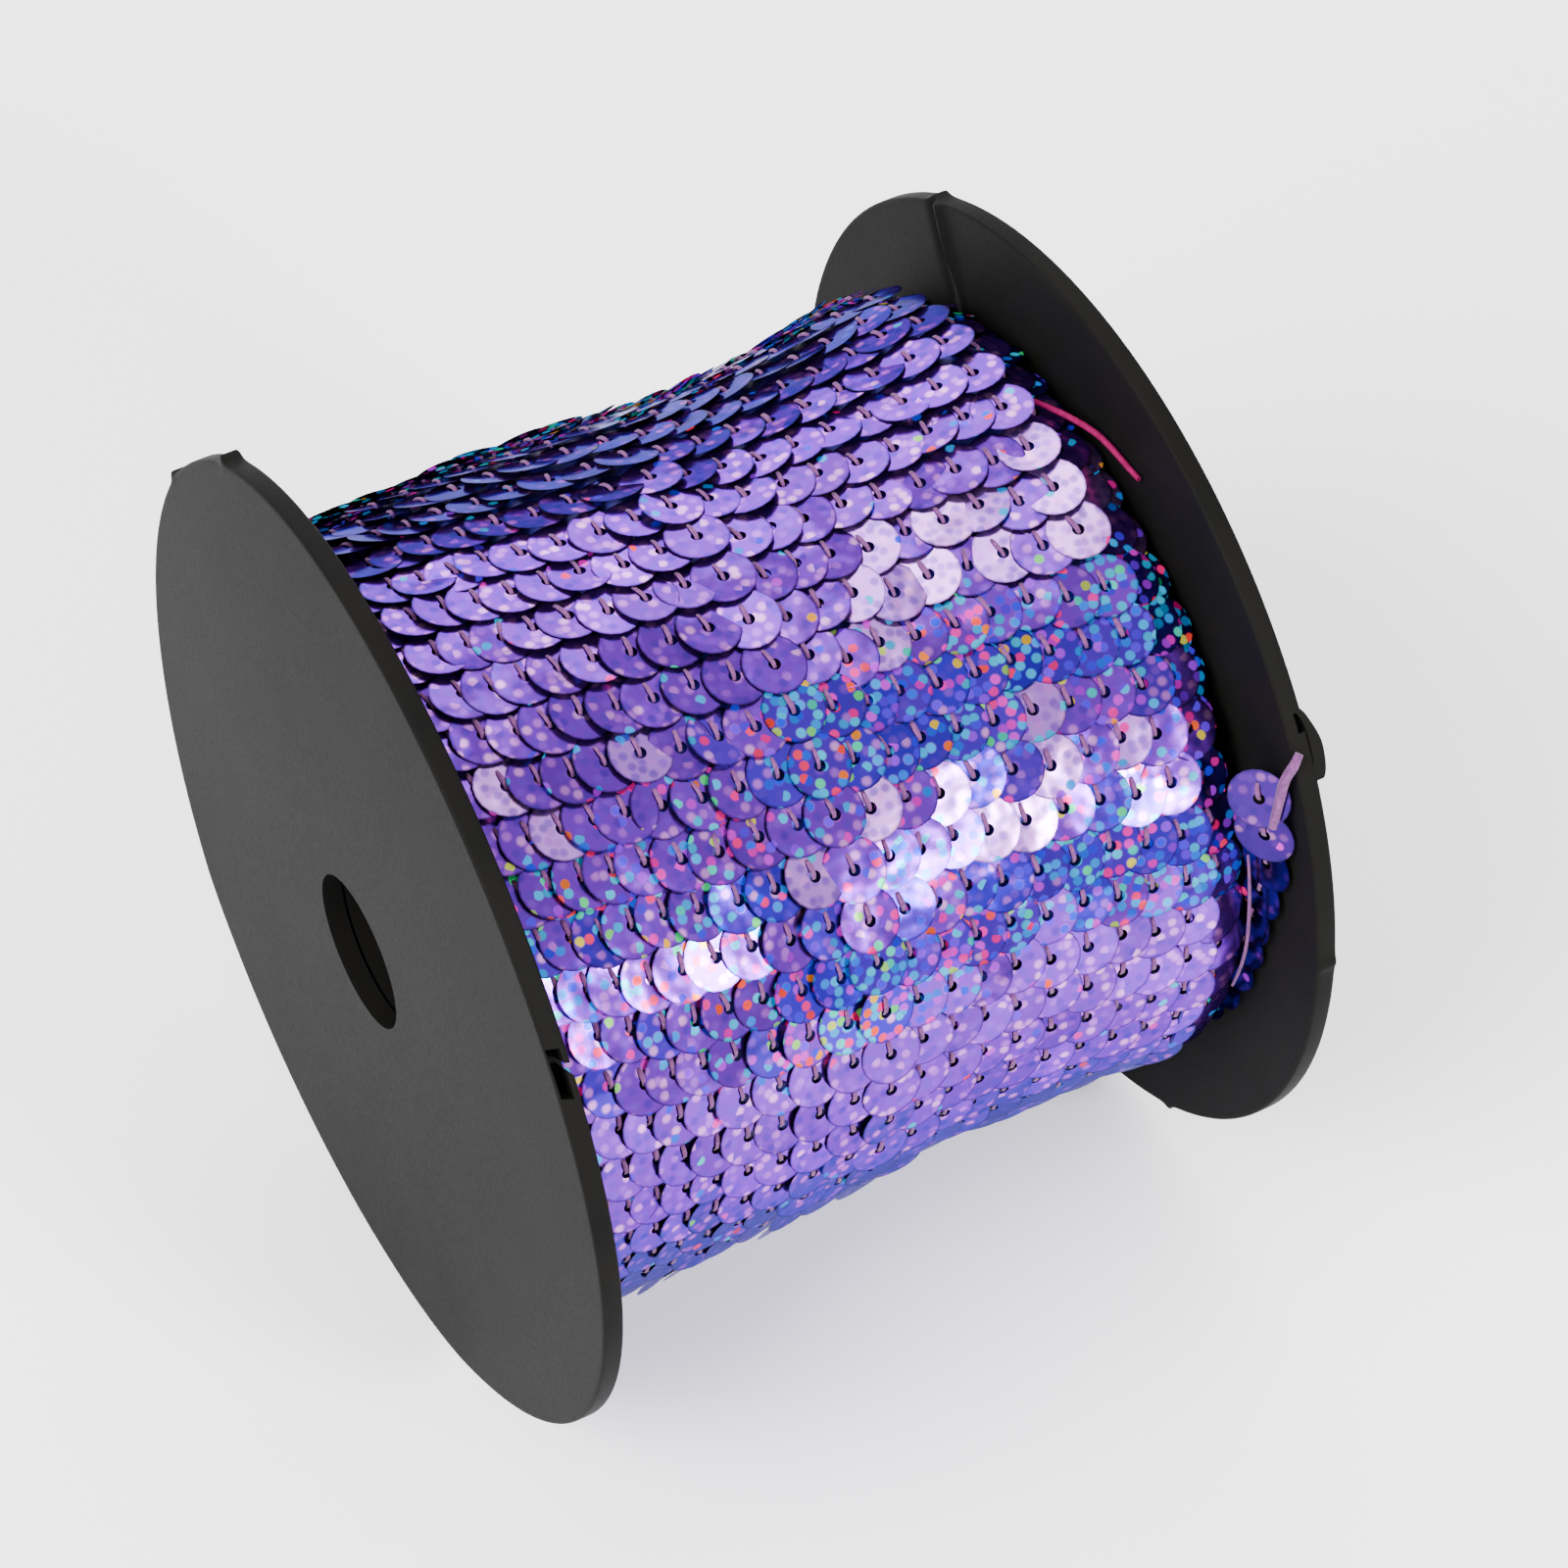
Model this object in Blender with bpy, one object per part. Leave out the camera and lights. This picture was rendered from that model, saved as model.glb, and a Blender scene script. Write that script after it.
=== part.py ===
"""Sequin trim wound on a flanged reel.

A moulded reel of two round discs on a hollow tube carries a single strand of sequin trim, wound
full. The strand's loose end is led up the inner face of the far disc to the disc's thread notch.

The reel lies on the rims of its discs. Its axis is X, +Z is up, the near disc is at -X, and the
origin is on the surface it lies on, under its middle. Angles around the axis start at the -Y side
and grow over the top.
"""

import math
from typing import NamedTuple

import bmesh
import bpy
import numpy as np

MM = 0.001

# Reel
REEL_WIDTH = 76.0 * MM
DISC_RADIUS = 47.5 * MM
DISC_THICKNESS = 2.0 * MM
RIM_ROUND = 0.9 * MM
HUB_RADIUS = 14.0 * MM
BORE_RADIUS = 7.7 * MM
TUBE_RADIUS = 10.2 * MM
FLAT_SPOT_DEPTH = 0.3 * MM
AXIS_HEIGHT = DISC_RADIUS - FLAT_SPOT_DEPTH
GAP = 0.3 * MM
DISC_SIDES = 96
TUBE_SIDES = 48
RIM_ARC_STEPS = 3

# The near disc has warped: its rim leans in towards the trim, more at some angles than at others
LEAN_EVEN = 0.92 * MM
LEAN_TILT = 0.76 * MM
LEAN_TILT_ANGLE = math.radians(117)
LEAN_SADDLE = 0.62 * MM
LEAN_SADDLE_ANGLE = math.radians(147)

# Thread notch: a slot along the rim with a slanted mouth, at one angle on both discs
NOTCH_ANGLE = math.radians(34.5)
NOTCH_LENGTH = 5.4 * MM
NOTCH_WIDTH = 1.5 * MM
NOTCH_INSET = 1.9 * MM
NOTCH_MOUTH_WIDTH = 1.6 * MM
NOTCH_MOUTH_START = 0.3 * MM
NOTCH_MOUTH_SLANT = 1.1 * MM
NOTCH_END_STEPS = 5
CUTTER_OVERSHOOT = 1.5 * MM

# Winding
ROW_RISE = 0.3 * MM
ROW_FALL = 0.25 * MM
ROW_STEP_SHARE = 0.12
WINDING_SIDES = 72
WINDING_START = -REEL_WIDTH / 2 + DISC_THICKNESS + GAP
WINDING_END = REEL_WIDTH / 2 - DISC_THICKNESS - 1.8 * MM


class Stretch(NamedTuple):
    """A few neighbouring rows of the winding, and the distance from row to row in millimetres."""

    rows: int
    pitch: float


ROW_STRETCHES = [
    Stretch(rows=1, pitch=4.8),
    Stretch(rows=3, pitch=2.85),
    Stretch(rows=2, pitch=3.25),
    Stretch(rows=4, pitch=3.75),
    Stretch(rows=3, pitch=3.3),
    Stretch(rows=2, pitch=3.7),
    Stretch(rows=4, pitch=3.45),
    Stretch(rows=1, pitch=2.9),
]

# The crown row lies on both its neighbours; every other row lies on the next one away from it
CROWN_ROW = 9


class Station(NamedTuple):
    """One place along the reel and the winding's mean radius there, in millimetres."""

    along: float
    radius: float


WINDING_FORM = [
    Station(along=-36.0, radius=37.4),
    Station(along=-30.0, radius=38.1),
    Station(along=-20.0, radius=38.5),
    Station(along=-10.0, radius=38.5),
    Station(along=-4.0, radius=38.3),
    Station(along=2.0, radius=37.7),
    Station(along=7.0, radius=37.4),
    Station(along=13.0, radius=37.6),
    Station(along=20.0, radius=38.1),
    Station(along=26.0, radius=38.8),
    Station(along=30.0, radius=39.2),
    Station(along=32.5, radius=38.3),
    Station(along=34.5, radius=36.8),
]

# The rows swell on one side near the far disc, and sink on top where they meet it
SWELL_HEIGHT = 0.8 * MM
SWELL_ALONG = 28.0 * MM
SWELL_SPREAD = 8.0 * MM
SWELL_ANGLE = math.radians(130)
SINK_DEPTH = 1.2 * MM
SINK_START = 29.5 * MM
SINK_RUN = 2.0 * MM
SINK_ANGLE = math.radians(80)
SINK_SPREAD = math.radians(24)
LUMP_HEIGHT = 0.18 * MM
LUMP_TURN = 70.0

# Loose end of the trim
TRIM_WIDTH = 6.0 * MM
TRIM_THICKNESS = 1.2 * MM
TAIL_STATIONS = 26
TAIL_ALONG = REEL_WIDTH / 2 - DISC_THICKNESS - GAP - TRIM_THICKNESS / 2


class Waypoint(NamedTuple):
    """One place on the loose end's middle line: degrees around the reel, millimetres from its axis."""

    angle: float
    radius: float


TAIL_ROUTE = [
    Waypoint(angle=-28.0, radius=34.9),
    Waypoint(angle=-20.0, radius=35.7),
    Waypoint(angle=-12.0, radius=36.3),
    Waypoint(angle=-4.0, radius=36.9),
    Waypoint(angle=4.0, radius=38.0),
    Waypoint(angle=12.0, radius=39.8),
    Waypoint(angle=19.0, radius=41.9),
    Waypoint(angle=25.0, radius=43.6),
    Waypoint(angle=31.0, radius=44.4),
]


def clear_scene():
    """Removes every object, so that the model starts from nothing."""
    for item in list(bpy.data.objects):
        bpy.data.objects.remove(item, do_unlink=True)


def make_material(name, colour, roughness, metallic=0.0):
    """Returns a Principled material of one colour."""
    material = bpy.data.materials.new(name)
    material.use_nodes = True
    shader = material.node_tree.nodes["Principled BSDF"]
    shader.inputs["Base Color"].default_value = (*colour, 1.0)
    shader.inputs["Roughness"].default_value = roughness
    shader.inputs["Metallic"].default_value = metallic
    return material


def make_object(name, vertices, faces, material):
    """Returns a new object with smooth faces that all point outwards."""
    mesh = bpy.data.meshes.new(name)
    mesh.from_pydata(vertices, [], faces)
    shape = bmesh.new()
    shape.from_mesh(mesh)
    bmesh.ops.recalc_face_normals(shape, faces=shape.faces)
    shape.to_mesh(mesh)
    shape.free()
    mesh.materials.append(material)
    mesh.shade_smooth()
    mesh.set_sharp_from_angle(angle=math.radians(35))
    item = bpy.data.objects.new(name, mesh)
    bpy.context.collection.objects.link(item)
    return item


def place_around(along, radius, angle):
    """Returns the point at a distance along the axis, a radius and an angle around it.

    Nothing reaches below the surface that the reel lies on, which gives the rims a flat spot.
    """
    height = max(AXIS_HEIGHT + radius * math.sin(angle), 0.0)
    return (along, -radius * math.cos(angle), height)


def near_lean(radius, angle):
    """Returns how far the near disc leans in at a radius and an angle; its hub stays flat."""
    reach = max(radius - HUB_RADIUS, 0.0) / (DISC_RADIUS - HUB_RADIUS)
    tilt = LEAN_TILT * math.cos(angle - LEAN_TILT_ANGLE)
    saddle = LEAN_SADDLE * math.cos(2 * (angle - LEAN_SADDLE_ANGLE))
    return max(LEAN_EVEN + tilt + saddle, 0.0) * reach**2


def far_lean(radius, angle):
    """The far disc is flat."""
    return 0.0


def turned_solid(name, profile, sides, shape, material):
    """Returns a ring: a closed profile carried once round the axis.

    The profile is a list of (along, radius) pairs, and shape(along, radius, angle) gives each
    pair's point at an angle, so the ring can be uneven.
    """
    angles = [2 * math.pi * step / sides for step in range(sides)]
    vertices = [shape(along, radius, angle) for along, radius in profile for angle in angles]
    faces = []
    for row in range(len(profile)):
        start = row * sides
        after = (row + 1) % len(profile) * sides
        for step in range(sides):
            turn = (step + 1) % sides
            faces.append((start + step, start + turn, after + turn, after + step))
    return make_object(name, vertices, faces, material)


def disc_profile():
    """Returns the disc's profile as (depth, radius): the outer face, the round rim, the inner face."""
    profile = [(0.0, BORE_RADIUS), (0.0, HUB_RADIUS), (0.0, DISC_RADIUS * 0.65)]
    for step in range(RIM_ARC_STEPS + 1):
        turn = math.pi / 2 * step / RIM_ARC_STEPS
        profile.append((RIM_ROUND * (1 - math.cos(turn)), DISC_RADIUS - RIM_ROUND * (1 - math.sin(turn))))
    return profile + [(DISC_THICKNESS - depth, radius) for depth, radius in reversed(profile)]


def notch_outline():
    """Returns the notch's outline as (down, out) pairs around the middle of its slot.

    Down runs along the rim towards smaller angles, and out runs away from the axis.
    """
    half = NOTCH_WIDTH / 2
    straight = NOTCH_LENGTH / 2 - half
    over_rim = NOTCH_INSET + CUTTER_OVERSHOOT
    mouth_end = NOTCH_MOUTH_START + NOTCH_MOUTH_WIDTH
    outline = []
    for step in range(NOTCH_END_STEPS + 1):
        turn = -math.pi / 2 + math.pi * step / NOTCH_END_STEPS
        outline.append((straight + half * math.cos(turn), half * math.sin(turn)))
    outline.append((mouth_end, half))
    outline.append((mouth_end + NOTCH_MOUTH_SLANT, over_rim))
    outline.append((NOTCH_MOUTH_START + NOTCH_MOUTH_SLANT, over_rim))
    outline.append((NOTCH_MOUTH_START, half))
    for step in range(NOTCH_END_STEPS + 1):
        turn = math.pi / 2 + math.pi * step / NOTCH_END_STEPS
        outline.append((-straight + half * math.cos(turn), half * math.sin(turn)))
    return outline


def cut_notch(disc, outer, inward, material):
    """Cuts the thread notch through a disc whose outer face is at X = outer."""
    outline = notch_outline()
    radial = (-math.cos(NOTCH_ANGLE), math.sin(NOTCH_ANGLE))
    down = (-math.sin(NOTCH_ANGLE), -math.cos(NOTCH_ANGLE))
    depths = (-CUTTER_OVERSHOOT, DISC_THICKNESS + 2 * CUTTER_OVERSHOOT)
    vertices = []
    for depth in depths:
        for below, out in outline:
            radius = DISC_RADIUS - NOTCH_INSET + out
            y = radius * radial[0] + below * down[0]
            z = AXIS_HEIGHT + radius * radial[1] + below * down[1]
            vertices.append((outer + inward * depth, y, z))
    count = len(outline)
    faces = [tuple(range(count)), tuple(range(2 * count - 1, count - 1, -1))]
    for step in range(count):
        turn = (step + 1) % count
        faces.append((step, count + step, count + turn, turn))
    cutter = make_object(f"{disc.name}_notch_cutter", vertices, faces, material)
    cutter.hide_render = True
    cutter.display_type = "WIRE"
    modifier = disc.modifiers.new("thread notch", "BOOLEAN")
    modifier.operation = "DIFFERENCE"
    modifier.solver = "EXACT"
    modifier.object = cutter


def build_disc(name, side, lean, material):
    """Builds one disc of the reel; side is -1 for the near disc and 1 for the far one."""
    outer = side * REEL_WIDTH / 2
    inward = -side

    def shape(depth, radius, angle):
        return place_around(outer + inward * (depth + lean(radius, angle)), radius, angle)

    disc = turned_solid(name, disc_profile(), DISC_SIDES, shape, material)
    cut_notch(disc, outer, inward, material)


def build_tube(material):
    """Builds the hollow tube that joins the discs around the bore."""
    end = REEL_WIDTH / 2 - DISC_THICKNESS - GAP
    profile = [(-end, BORE_RADIUS), (-end, TUBE_RADIUS), (end, TUBE_RADIUS), (end, BORE_RADIUS)]
    turned_solid("core_tube", profile, TUBE_SIDES, place_around, material)


def row_edges():
    """Returns where each row of the winding starts, and where the last one ends."""
    pitches = [stretch.pitch * MM for stretch in ROW_STRETCHES for _ in range(stretch.rows)]
    return WINDING_START + np.concatenate([[0.0], np.cumsum(pitches)])


def mean_radius(along):
    """Returns the winding's mean radius, read from its form."""
    places = [station.along * MM for station in WINDING_FORM]
    radii = [station.radius * MM for station in WINDING_FORM]
    return float(np.interp(along, places, radii))


def unevenness(along, angle):
    """Returns how far the wound trim stands above its mean radius: a swell, a sink and soft lumps."""
    swell = SWELL_HEIGHT * math.cos(angle - SWELL_ANGLE)
    swell *= math.exp(-(((along - SWELL_ALONG) / SWELL_SPREAD) ** 2))
    off_top = math.remainder(angle - SINK_ANGLE, 2 * math.pi)
    past = min(max((along - SINK_START) / SINK_RUN, 0.0), 1.0)
    sink = SINK_DEPTH * past * math.exp(-((off_top / SINK_SPREAD) ** 2))
    lumps = LUMP_HEIGHT * math.sin(3 * angle + LUMP_TURN * along)
    return swell - sink + lumps


def winding_profile():
    """Returns the winding's profile.

    Left of the crown row, a row starts high over the row before it and slopes down. Right of it,
    a row rises to its right edge and stands over the row after it.
    """
    edges = row_edges()
    profile = [(WINDING_START, TUBE_RADIUS + GAP)]
    for row, (start, end) in enumerate(zip(edges[:-1], edges[1:])):
        left = start + ROW_STEP_SHARE * (end - start) if row else start
        left_lift = ROW_RISE if row <= CROWN_ROW else -ROW_FALL
        right_lift = ROW_RISE if row >= CROWN_ROW else -ROW_FALL
        profile.append((left, mean_radius(left) + left_lift))
        profile.append((end, mean_radius(end) + right_lift))
    profile.append((WINDING_END, mean_radius(WINDING_END) - ROW_FALL))
    profile.append((WINDING_END, TUBE_RADIUS + GAP))
    return profile


def build_winding(material):
    """Builds the wound trim as one solid, whose first end follows the near disc's lean."""
    bare = TUBE_RADIUS + GAP
    middle = (WINDING_START + WINDING_END) / 2

    def shape(along, radius, angle):
        if radius > bare:
            radius += unevenness(along, angle)
        share = min(max((middle - along) / (middle - WINDING_START), 0.0), 1.0)
        return place_around(along + share * near_lean(radius, angle), radius, angle)

    turned_solid("winding", winding_profile(), WINDING_SIDES, shape, material)


def smooth_route(route, count):
    """Returns count points, evenly spaced in step, on a smooth curve through the route's points."""
    knots = np.array([(math.radians(place.angle), place.radius * MM) for place in route])
    padded = np.vstack([2 * knots[0] - knots[1], knots, 2 * knots[-1] - knots[-2]])
    points = []
    for step in np.linspace(0, len(knots) - 1, count):
        first = min(int(step), len(knots) - 2)
        t = step - first
        a, b, c, d = padded[first : first + 4]
        points.append(
            0.5 * (2 * b + (c - a) * t + (2 * a - 5 * b + 4 * c - d) * t**2 + (3 * b - a - 3 * c + d) * t**3)
        )
    return np.array(points)


def build_tail(material):
    """Builds the strand's loose end: a flat strip on edge between the winding and the far disc."""
    route = smooth_route(TAIL_ROUTE, TAIL_STATIONS)
    middle = np.array([place_around(TAIL_ALONG, radius, angle) for angle, radius in route])
    heading = np.gradient(middle, axis=0)
    heading /= np.linalg.norm(heading, axis=1)[:, None]
    across = np.array([1.0, 0.0, 0.0])
    wide = np.cross(heading, across) * TRIM_WIDTH / 2
    thick = across * TRIM_THICKNESS / 2
    corners = [middle - wide - thick, middle + wide - thick, middle + wide + thick, middle - wide + thick]
    vertices = np.stack(corners, axis=1).reshape(-1, 3)
    faces = [(3, 2, 1, 0)]
    for station in range(TAIL_STATIONS - 1):
        for corner in range(4):
            turn = (corner + 1) % 4
            here = 4 * station
            faces.append((here + corner, here + turn, here + 4 + turn, here + 4 + corner))
    last = 4 * (TAIL_STATIONS - 1)
    faces.append((last, last + 1, last + 2, last + 3))
    make_object("trim_tail", vertices.tolist(), faces, material)


def main():
    clear_scene()
    black_plastic = make_material("black_plastic", (0.035, 0.034, 0.033), 0.55)
    violet_foil = make_material("violet_foil", (0.20, 0.09, 0.55), 0.3, metallic=0.8)
    build_disc("disc_near", -1, near_lean, black_plastic)
    build_disc("disc_far", 1, far_lean, black_plastic)
    build_tube(black_plastic)
    build_winding(violet_foil)
    build_tail(violet_foil)


main()
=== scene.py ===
"""Looks of a reel of sequin trim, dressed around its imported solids.

A black moulded reel of two discs on a hollow tube carries one strand of 6 mm holographic sequins,
wound full. Each sequin lies over the one before it like a roof tile, held by a stitch that comes up
through its hole. The strand's loose end is led up the far disc's inner face to its thread notch.

The reel lies on the rims of its discs. Its axis is X, +Z is up and the near disc is at -X. Angles
around the axis start at the -Y side and grow over the top.
"""

import logging
import math
from dataclasses import dataclass
from enum import Enum
from typing import Any, Callable, NamedTuple

import bmesh
import bpy
import numpy as np
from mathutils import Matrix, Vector


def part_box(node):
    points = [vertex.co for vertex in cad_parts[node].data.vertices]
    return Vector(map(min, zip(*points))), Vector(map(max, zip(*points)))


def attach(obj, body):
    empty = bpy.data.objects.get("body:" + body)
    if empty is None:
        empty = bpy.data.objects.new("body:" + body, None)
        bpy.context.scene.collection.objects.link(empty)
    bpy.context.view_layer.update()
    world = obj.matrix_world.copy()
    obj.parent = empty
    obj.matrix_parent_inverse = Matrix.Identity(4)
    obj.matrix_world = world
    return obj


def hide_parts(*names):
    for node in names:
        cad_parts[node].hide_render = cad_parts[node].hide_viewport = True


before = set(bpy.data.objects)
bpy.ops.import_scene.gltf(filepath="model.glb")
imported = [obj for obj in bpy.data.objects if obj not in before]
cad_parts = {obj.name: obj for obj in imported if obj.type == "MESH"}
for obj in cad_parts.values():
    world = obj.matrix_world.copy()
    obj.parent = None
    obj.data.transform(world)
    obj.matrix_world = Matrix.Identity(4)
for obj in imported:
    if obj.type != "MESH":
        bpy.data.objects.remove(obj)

log = logging.getLogger("reel")

MM = 0.001
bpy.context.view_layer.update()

# Driving sizes of the reel, read from its far disc, which is flat
FAR_LOW, FAR_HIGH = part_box("disc_far")
DISC_RADIUS = (FAR_HIGH[1] - FAR_LOW[1]) / 2
DISC_THICKNESS = FAR_HIGH[0] - FAR_LOW[0]
REEL_WIDTH = 2 * FAR_HIGH[0]
AXIS_HEIGHT = FAR_HIGH[2] - DISC_RADIUS
HUB_RADIUS = 14.0 * MM
GAP = 0.3 * MM


class Side(Enum):
    """The two discs of the reel, by the sign of their place on its axis."""

    NEAR = -1
    FAR = 1


class Station(NamedTuple):
    """One place along the reel and the winding's mean radius there, in millimetres."""

    along: float
    radius: float


class Stretch(NamedTuple):
    """A few neighbouring rows of the winding, and the distance from row to row in millimetres."""

    rows: int
    pitch: float


class Waypoint(NamedTuple):
    """One place on the loose end's middle line: degrees around the reel, millimetres from its axis."""

    angle: float
    radius: float


class RimCut(NamedTuple):
    """A cut sunk straight into a rim: its outline as (millimetres along, degrees), and its depth in mm."""

    side: Side
    outline: tuple[tuple[float, float], ...]
    depth: float


class Effect(Enum):
    """Which light a band paints into the foil: glowing spectral flashes, lamp glints or dark reflections."""

    VIVID = "spectral dots on a deep ground"
    PALE = "whole sequins that mirror the lamp"
    DEEP = "whole sequins that mirror the dark"


class Band(NamedTuple):
    """A band of one effect: its middle and half width in degrees, and where it runs along the reel in mm."""

    effect: Effect
    angle: float
    half_width: float
    start: float
    end: float
    strength: float


def linear_colour(code: str) -> tuple[float, float, float, float]:
    """Turns an sRGB hex colour into linear red, green, blue and alpha.

    Args:
        code: Six hex digits, with or without a leading mark.

    Returns:
        The linear colour, with an alpha of 1.
    """
    digits = code.lstrip("#")
    parts = [int(digits[start : start + 2], 16) / 255 for start in (0, 2, 4)]
    red, green, blue = (p / 12.92 if p <= 0.04045 else ((p + 0.055) / 1.055) ** 2.4 for p in parts)
    return (red, green, blue, 1.0)


def add_node(
    tree: bpy.types.NodeTree,
    kind: str,
    settings: dict[str, Any] | None = None,
    inputs: dict[str | int, Any] | None = None,
) -> bpy.types.Node:
    """Adds a node with its settings, its values and its links.

    Args:
        tree: The node tree.
        kind: The node's type name.
        settings: Properties of the node itself.
        inputs: For each input, by name or number, either a value or the socket that feeds it.

    Returns:
        The new node.
    """
    node = tree.nodes.new(kind)
    for name, value in (settings or {}).items():
        setattr(node, name, value)
    for name, value in (inputs or {}).items():
        if isinstance(value, bpy.types.NodeSocket):
            tree.links.new(value, node.inputs[name])
        else:
            node.inputs[name].default_value = value
    return node


def new_material(name: str) -> tuple[bpy.types.Material, bpy.types.NodeTree, bpy.types.Node]:
    """Makes an empty node material.

    Args:
        name: The material's name.

    Returns:
        The material, its node tree and its Principled shader.
    """
    material = bpy.data.materials.new(name)
    material.use_nodes = True
    return material, material.node_tree, material.node_tree.nodes["Principled BSDF"]


def feed(tree: bpy.types.NodeTree, shader: bpy.types.Node, inputs: dict[str, Any]) -> None:
    """Sets a shader's values and links.

    Args:
        tree: The node tree.
        shader: The shader node.
        inputs: For each input, either a value or the socket that feeds it.
    """
    for name, value in inputs.items():
        if isinstance(value, bpy.types.NodeSocket):
            tree.links.new(value, shader.inputs[name])
        else:
            shader.inputs[name].default_value = value


@dataclass(frozen=True)
class MouldedPlastic:
    """Black high-impact polystyrene, injection moulded in a matt tool: soft wide highlights, fine grain."""

    name: str = "Moulded black polystyrene"
    colour: str = "0A0A0A"
    worn_colour: str = "12110F"
    roughness: float = 0.56
    grain: float = 0.35 * MM
    mottle: float = 9.0 * MM

    def material(self) -> bpy.types.Material:
        """Makes the plastic: flow mottling, grain from the tool, and a slightly uneven gloss.

        Returns:
            The material.
        """
        material, tree, shader = new_material(self.name)
        place = add_node(tree, "ShaderNodeTexCoord").outputs["Object"]
        mottle = add_node(
            tree, "ShaderNodeTexNoise", inputs={"Vector": place, "Scale": 1 / self.mottle, "Detail": 5.0}
        )
        grain = add_node(
            tree, "ShaderNodeTexNoise", inputs={"Vector": place, "Scale": 1 / self.grain, "Detail": 2.0}
        )
        colour = add_node(
            tree,
            "ShaderNodeMix",
            {"data_type": "RGBA"},
            {0: mottle.outputs["Fac"], 6: linear_colour(self.colour), 7: linear_colour(self.worn_colour)},
        )
        gloss = add_node(
            tree,
            "ShaderNodeMapRange",
            inputs={"Value": grain.outputs["Fac"], "To Min": self.roughness - 0.07, "To Max": self.roughness + 0.07},
        )
        bump = add_node(
            tree,
            "ShaderNodeBump",
            inputs={"Height": grain.outputs["Fac"], "Strength": 0.25, "Distance": 0.06 * MM},
        )
        feed(
            tree,
            shader,
            {
                "Base Color": colour.outputs[2],
                "Roughness": gloss.outputs["Result"],
                "Normal": bump.outputs["Normal"],
                "IOR": 1.59,
                "Specular IOR Level": 0.016,
            },
        )
        return material


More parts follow.
